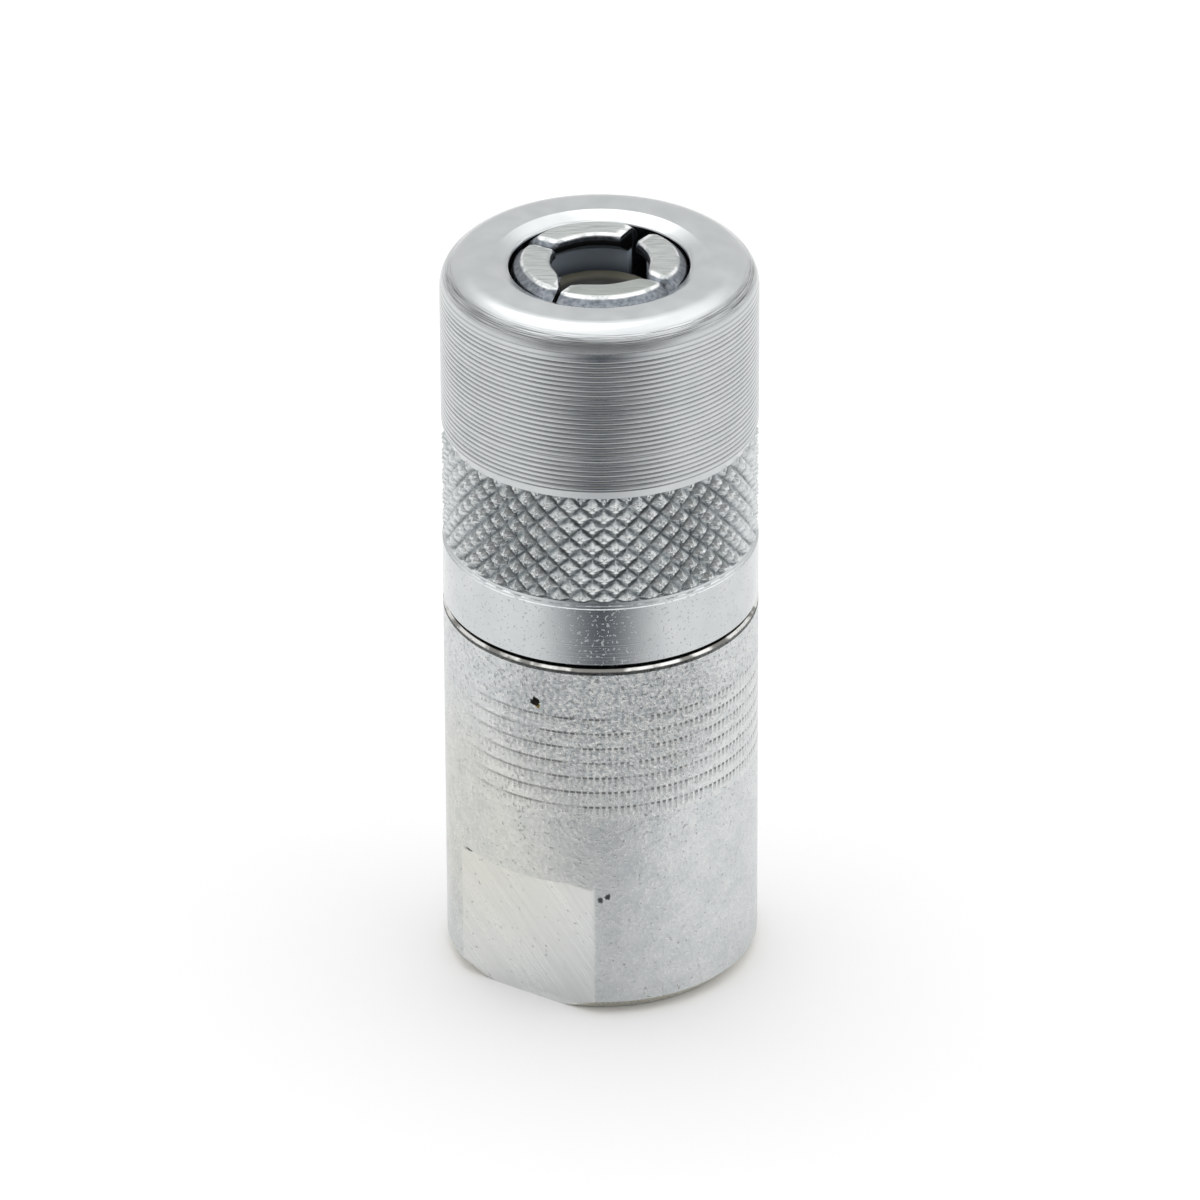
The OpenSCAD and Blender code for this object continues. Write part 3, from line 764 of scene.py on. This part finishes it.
jaw_edge = 0.08
jaw_seats = (
    {"inward": 0.1, "askew": -6, "drops": (0.28, 0.12), "cuts": (0.3, 0.1)},
    {"inward": 0.0, "askew": 4, "drops": (0.1, 0.3), "cuts": (0.0, 0.2)},
    {"inward": 0.17, "askew": 1, "drops": (0.16, 0.14), "cuts": (0.0, 0.8)},
    {"inward": 0.02, "askew": 0, "drops": (0.06, 0.16), "cuts": (0.25, 0.3)},
)
for number, seat in enumerate(jaw_seats):
    jaw_name = f"jaw_{number + 1}"
    jaw_piece = surface_piece(f"{jaw_name}_steel", jaw_points(number, **seat), closed=False)
    rounding = jaw_piece.modifiers.new("tumbled_edges", "BEVEL")
    rounding.width = jaw_edge * MM
    rounding.segments = 3
    rounding.limit_method = "ANGLE"
    rounding.angle_limit = math.radians(30)
    rounding.harden_normals = True
    jaw_piece.data.materials.append(jaw_steel)
    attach(jaw_piece, jaw_name)
    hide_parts(jaw_name)

# Nose sleeve
# A turned steel sleeve that screws onto the spigot and closes the jaws with its inner cone. Feed rings
# cover its nose, a rolled diamond knurl its grip, and its skirt is smooth. It is zinc plated and bright.

knurl_count = 42
knurl_steps = 8
knurl_depth = 0.3
sleeve_angles = np.linspace(0, TURN, knurl_count * knurl_steps, endpoint=False)
skirt_h = 3.1
skirt_top = seat_z + skirt_h
knurl_low = 22.75
knurl_high = 28.17
knurl_rises = 5
knurl_rows = knurl_rises * knurl_steps
grip_top = 28.67
nose_r = 1.4
nose_z = mouth_z - nose_r
ring_pitch = 0.25
ring_count = 28
ring_depth = 0.04
ring_steps = 6
mouth_bevel_w = 0.63
room_r = 5.9
cone_z = throat_z - (room_r - mouth_r) / cone_slope
socket_r = 6.2
socket_root_r = 6.6
socket_top = spigot_top + 0.5

skirt = corners(
    [
        (socket_r + 0.1, seat_z),
        (outer_r - 0.1, seat_z),
        (outer_r, seat_z + 0.08),
        (outer_r, skirt_top - 0.03),
        (outer_r - 0.05, skirt_top),
        (outer_r - 0.05, skirt_top + 0.1),
        (outer_r - 0.12, skirt_top + 0.14),
        (outer_r - 0.12, knurl_low - 0.12),
        (outer_r - knurl_depth, knurl_low - 0.05),
    ],
    0.8,
)
knurl_z = np.linspace(knurl_low, knurl_high, knurl_rows + 1)[:, None]
climb = np.linspace(0, knurl_rises, knurl_rows + 1)[:, None]
rising = sleeve_angles[None, :] * knurl_count / TURN + climb
falling = sleeve_angles[None, :] * knurl_count / TURN - climb
tooth = np.minimum(1 - np.abs(2 * (rising % 1) - 1), 1 - np.abs(2 * (falling % 1) - 1))
knurl = np.interp(tooth, [0, 0.75, 1], [0, 1, 0.88])
end_fade = np.clip((knurl_high - knurl_z) / 0.35, 0, 1)
knurl_r = outer_r - knurl_depth + knurl_depth * knurl * (0.45 + 0.55 * end_fade)

ring_step = np.arange(ring_count * ring_steps + 1)
ring_z = grip_top + ring_step * ring_pitch / ring_steps
ring_share = np.clip((nose_z + 0.3 - ring_z) / 0.6, 0, 1)
ring_number = ring_step // ring_steps
ring_random = np.random.default_rng(7).uniform(0.8, 1.2, ring_count + 1)[ring_number]
ring_wave = np.array([1.0, 0.45, 0.0, 0.0, 0.0, 0.45])[ring_step % ring_steps]
nose_drop = np.clip(ring_z - nose_z, 0, None)
ring_cut = ring_depth * ring_random * ring_wave * ring_share
ring_r = outer_r - nose_r + np.sqrt(nose_r**2 - nose_drop**2) - ring_cut
rings = np.stack([ring_r, ring_z], axis=1)
nose_start = math.degrees(math.asin((ring_z[-1] - nose_z) / nose_r))
nose = fillet((outer_r - nose_r, nose_z), nose_r, nose_start + 4, 90, 12)
lip_round = 0.07
mouth = corners(
    [
        (mouth_r + mouth_bevel_w + lip_round, mouth_z),
        (mouth_r + mouth_bevel_w, mouth_z - 0.02),
        (mouth_r + 0.03, throat_z + 0.02),
        (mouth_r, throat_z - 0.03),
        (room_r, cone_z),
        (room_r, socket_top),
        (socket_r, socket_top),
    ],
    0.7,
)
grip_edge = corners([(outer_r - 0.16, knurl_high + 0.03), (outer_r - 0.02, grip_top - 0.05)], 0.3)
sleeve_rows = [
    spread(skirt, sleeve_angles),
    (knurl_r, knurl_z + 0 * sleeve_angles),
    spread(grip_edge, sleeve_angles),
    spread(rings, sleeve_angles),
    spread(nose, sleeve_angles),
    spread(mouth, sleeve_angles),
    thread_rows(socket_r, socket_root_r, socket_top - 0.05, seat_z + 0.2, sleeve_angles, steps=4),
]
sleeve_piece = surface_piece("sleeve_turned", turned_points(sleeve_rows, sleeve_angles), sharp=15)

# Bright zinc plating: nearly a mirror on the skirt, satin on the turned nose. Fine turning lines run round
# it, tiny specks break the shine of the skirt, and the teeth of the knurl are burred. Shade is painted into
# the grooves of the rings and the knurl, and in streaks under the nose.
bright, tree, shader, place = new_material("zinc_plated_steel_bright")
x, y, z = add(tree, "SeparateXYZ", (place,)).outputs
flat_place = add(tree, "CombineXYZ", (x, y))
from_axis = add(tree, "VectorMath", (flat_place,), operation="LENGTH")
tone = add(tree, "TexNoise", {"Vector": place, "Scale": 1 / 1.2, "Detail": 4})
specks = add(tree, "TexNoise", {"Vector": place, "Scale": 1 / 0.14, "Detail": 1})
theta = add(tree, "Math", (y, x), operation="ARCTAN2")
on_skirt = add(tree, "Math", (z, skirt_top), operation="LESS_THAN")
speck_over = add(tree, "MapRange", (specks, 0.64, 0.72), interpolation_type="SMOOTHSTEP")
speck_mask = add(tree, "Math", (speck_over, on_skirt), operation="MULTIPLY")

# Painted shade: a dark film in the bottoms of the feed rings, unevenly between the teeth of the knurl, and
# in streaks where the rings run out on the nose.
above_grip = add(tree, "Math", (z, grip_top), operation="SUBTRACT")
off_groove = add(tree, "Math", (above_grip, ring_pitch / 2), operation="PINGPONG")
groove = add(tree, "MapRange", (off_groove, 0.07, 0.015), interpolation_type="SMOOTHSTEP")
over_grip = add(tree, "MapRange", (z, grip_top - 0.06, grip_top))
under_nose = add(tree, "MapRange", (z, nose_z + 0.7, nose_z + 0.2))
ring_groove_shade = add(tree, "Math", (groove, 0.45), operation="MULTIPLY")
ring_groove_shade = add(tree, "Math", (ring_groove_shade, over_grip), operation="MULTIPLY")
ring_groove_shade = add(tree, "Math", (ring_groove_shade, under_nose), operation="MULTIPLY")
sunk = add(tree, "MapRange", (from_axis, outer_r - 0.19, outer_r - 0.3), interpolation_type="SMOOTHSTEP")
grip_middle = (knurl_low + knurl_high) / 2
on_knurl = add(tree, "Math", (z, grip_middle, (knurl_high - knurl_low) / 2), operation="COMPARE")
knurl_tooth_shade = add(tree, "Math", (sunk, on_knurl), operation="MULTIPLY")
knurl_shade_share = add(tree, "MapRange", (tone, 0.38, 0.62, 0.0, 0.45), interpolation_type="SMOOTHSTEP")
knurl_tooth_shade = add(tree, "Math", (knurl_tooth_shade, knurl_shade_share), operation="MULTIPLY")
painted_shade = add(tree, "Math", (ring_groove_shade, knurl_tooth_shade), operation="MAXIMUM")
streak_place = add(tree, "CombineXYZ", (theta, add(tree, "Math", (z, 20.0), operation="MULTIPLY")))
streak_noise = add(tree, "TexNoise", {"Vector": streak_place, "Scale": 3, "Detail": 3})
streak_low = add(tree, "MapRange", (z, nose_z + 0.45, nose_z + 0.75), interpolation_type="SMOOTHSTEP")
streak_high = add(tree, "MapRange", (z, nose_z + 1.2, nose_z + 0.95), interpolation_type="SMOOTHSTEP")
streak_zone = add(tree, "Math", (streak_low, streak_high), operation="MULTIPLY")
streak_share = add(tree, "MapRange", (streak_noise, 0.42, 0.6, 0.0, 0.8), interpolation_type="SMOOTHSTEP")
streak_shade = add(tree, "Math", (streak_share, streak_zone), operation="MULTIPLY")
painted_shade = add(tree, "Math", (painted_shade, streak_shade), operation="MAXIMUM")
unshaded_tone = add(tree, "Mix", (tone, linear("#c2c6c8"), linear("#d3d5d5")), data_type="RGBA")
# Painted light and shade on the knurl: crests painted light and flanks painted dark, varied by the burrs.
on_flank = add(tree, "MapRange", (from_axis, outer_r - 0.04, outer_r - 0.3))
burr = add(tree, "TexNoise", {"Vector": place, "Scale": 1 / 0.25, "Detail": 2})
burr_tone = add(tree, "MapRange", (burr, 0.3, 0.7, -0.45, 0.45))
flank_shade_share = add(tree, "Math", (on_flank, burr_tone), operation="ADD", use_clamp=True)
tooth_light_and_shade = add(tree, "Mix", (flank_shade_share, linear("#dbdede"), linear("#a9aeb0")), data_type="RGBA")
grip_colour = add(tree, "Mix", (on_knurl, unshaded_tone, tooth_light_and_shade), data_type="RGBA")
# Painted shade over the tone.
bright_colour = add(tree, "Mix", (painted_shade, grip_colour, linear("#3c3f3f")), data_type="RGBA")

skirt_rough = add(tree, "Math", (speck_mask, 0.4, 0.17), operation="MULTIPLY_ADD")
turned_rough = add(tree, "MapRange", (tone, 0.3, 0.7, 0.17, 0.25))
nose_rough = add(tree, "Mix", (on_knurl, turned_rough, 0.17), data_type="FLOAT")
bright_rough = add(tree, "Mix", (on_skirt, nose_rough, skirt_rough), data_type="FLOAT")
lines = add(tree, "TexNoise", {"W": z, "Scale": 1 / 0.07, "Detail": 2}, noise_dimensions="1D")
top_lines = add(tree, "TexNoise", {"W": from_axis, "Scale": 1 / 0.12, "Detail": 1}, noise_dimensions="1D")
on_top = add(tree, "MapRange", (z, mouth_z - 0.1, mouth_z - 0.01))
faint_top = add(tree, "Math", (top_lines, 0.4), operation="MULTIPLY")
line_height = add(tree, "Mix", (on_top, lines, faint_top), data_type="FLOAT")
fine = add(tree, "Math", (speck_mask, 2.2, line_height), operation="MULTIPLY_ADD")
burr_height = add(tree, "Math", (burr, on_knurl), operation="MULTIPLY")
fine = add(tree, "Math", (burr_height, 7.0, fine), operation="MULTIPLY_ADD")
fine_bump = add(tree, "Bump", {"Height": fine, "Distance": 0.005 * MM})
tree.links.new(bright_colour.outputs[2], shader.inputs["Base Color"])
tree.links.new(bright_rough.outputs[0], shader.inputs["Roughness"])
tree.links.new(fine_bump.outputs[0], shader.inputs["Normal"])
sleeve_piece.data.materials.append(bright)
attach(sleeve_piece, "sleeve")
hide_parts("nose_sleeve")

# Table, light and camera
# A white table in a white tent that is open towards the camera, with one soft lamp above. As is usual for
# bright metal, a dark card lies in front of the coupler, outside the picture, and only reflections see it.

camera_azimuth = math.radians(33)
camera_elevation = math.radians(29.849)
camera_roll = math.radians(0.2712)
camera_distance = 513.06
camera_target_z = 18.573
camera_target_right = -0.0397
focal_pixels = 10777.65
image_pixels = 1200
sensor_mm = 36

right = Vector((math.cos(camera_azimuth), math.sin(camera_azimuth), 0))
back = Vector((
    math.sin(camera_azimuth) * math.cos(camera_elevation),
    -math.cos(camera_azimuth) * math.cos(camera_elevation),
    math.sin(camera_elevation),
))
up = back.cross(right)
turned_right = right * math.cos(camera_roll) - up * math.sin(camera_roll)
turned_up = up * math.cos(camera_roll) + right * math.sin(camera_roll)
target = right * camera_target_right + Vector((0, 0, camera_target_z))
camera_data = bpy.data.cameras.new("camera")
camera_data.sensor_width = sensor_mm
camera_data.lens = focal_pixels / image_pixels * sensor_mm
camera = bpy.data.objects.new("camera", camera_data)
axes = Matrix((turned_right, turned_up, back)).transposed().to_4x4()
camera.matrix_world = Matrix.Translation((target + back * camera_distance) * MM) @ axes
bpy.context.scene.collection.objects.link(camera)
bpy.context.scene.camera = camera


def flat_sheet(name, half_x, half_y, z):
    """A level rectangle about the axis, in millimetres."""
    mesh = bpy.data.meshes.new(name)
    signs = np.array([(-1, -1), (1, -1), (1, 1), (-1, 1)])
    sheet_corners = np.column_stack([signs * (half_x, half_y), np.full(4, z)])
    mesh.from_pydata(sheet_corners * MM, [], [(0, 1, 2, 3)])
    sheet = bpy.data.objects.new(name, mesh)
    bpy.context.scene.collection.objects.link(sheet)
    return sheet


table = flat_sheet("table", 3000, 3000, 0)
table_white = bpy.data.materials.new("table_white")
table_white.use_nodes = True
table_sockets = table_white.node_tree.nodes["Principled BSDF"].inputs
table_sockets["Base Color"].default_value = linear("#f2f2f2")
table_sockets["Roughness"].default_value = 0.9
table_sockets["Specular IOR Level"].default_value = 0.0
table.data.materials.append(table_white)

card = flat_sheet("dark_card", 400, 400, 0.3)
card.visible_camera = False
card.visible_diffuse = False
card.visible_shadow = False
card_dark = bpy.data.materials.new("card_dark")
card_dark.use_nodes = True
tree = card_dark.node_tree
tree.nodes.clear()
place = add(tree, "TexCoord").outputs["Object"]
facing = add(tree, "Mapping", (place, (0, 0, 0), (0, 0, -camera_azimuth), (1 / MM, 1 / MM, 1 / MM)))
across, away = add(tree, "SeparateXYZ", (facing,)).outputs[:2]
toward = add(tree, "Math", (away, -1.0), operation="MULTIPLY")
side_angle = add(tree, "Math", (across, toward), operation="ARCTAN2")
bearing = add(tree, "Math", (side_angle,), operation="ABSOLUTE")
reach = add(tree, "VectorMath", (facing,), operation="LENGTH")
card_edges = (math.radians(54), math.radians(-2))
width_share = add(tree, "MapRange", (bearing, *card_edges), interpolation_type="SMOOTHSTEP")
near_share = add(tree, "MapRange", (reach, 16, 44, 0.25, 1.0), interpolation_type="SMOOTHSTEP")
cover = add(tree, "Math", (width_share, near_share), operation="MULTIPLY")
clear = add(tree, "BsdfTransparent")
card_grey = add(tree, "Emission", (linear("#53585f"), 1.0))
mixed = add(tree, "MixShader", (cover, clear, card_grey))
add(tree, "OutputMaterial", (mixed,))
card.data.materials.append(card_dark)

tent_sides = 0.84
tent_roof = 1.5
tent_opening = 0.3
window_gain = 1.17
world = bpy.data.worlds.new("tent")
world.use_nodes = True
bpy.context.scene.world = world
tree = world.node_tree
direction = add(tree, "TexCoord").outputs["Generated"]
overhead = add(tree, "SeparateXYZ", (direction,)).outputs["Z"]
roof_edge = (0.5, 0.82)
tent_range = (overhead, *roof_edge, tent_sides, tent_roof)
tent_light = add(tree, "MapRange", tent_range, interpolation_type="SMOOTHSTEP")
toward_camera = (math.sin(camera_azimuth), -math.cos(camera_azimuth), 0)
front = add(tree, "VectorMath", (direction, toward_camera), operation="DOT_PRODUCT")
open_front = add(tree, "MapRange", (front, 0.4, 0.9), interpolation_type="SMOOTHSTEP")
sideways = add(tree, "VectorMath", (direction, right), operation="DOT_PRODUCT")
window_side = add(tree, "MapRange", (sideways, 0.3, 0.9, 1.0, window_gain), interpolation_type="SMOOTHSTEP")
side_light = add(tree, "Math", (tent_light, window_side), operation="MULTIPLY")
room_light = add(tree, "Mix", (open_front, side_light, tent_opening), data_type="FLOAT")
seen = add(tree, "LightPath").outputs["Is Camera Ray"]
shown = add(tree, "Mix", (seen, room_light, 1.0), data_type="FLOAT")
tree.links.new(shown.outputs[0], tree.nodes["Background"].inputs["Strength"])
tree.nodes["Background"].inputs["Color"].default_value = (1, 1, 1, 1)

lamp_data = bpy.data.lights.new("soft_lamp", "AREA")
lamp_data.shape = "DISK"
lamp_data.size = 0.5
lamp_data.energy = 0.4
lamp = bpy.data.objects.new("soft_lamp", lamp_data)
lamp.location = (-0.25, 0.15, 0.7)
lamp.rotation_euler = (Vector((0, 0, 0.02)) - lamp.location).to_track_quat("-Z", "Y").to_euler()
bpy.context.scene.collection.objects.link(lamp)

bpy.context.scene.view_settings.view_transform = "Standard"
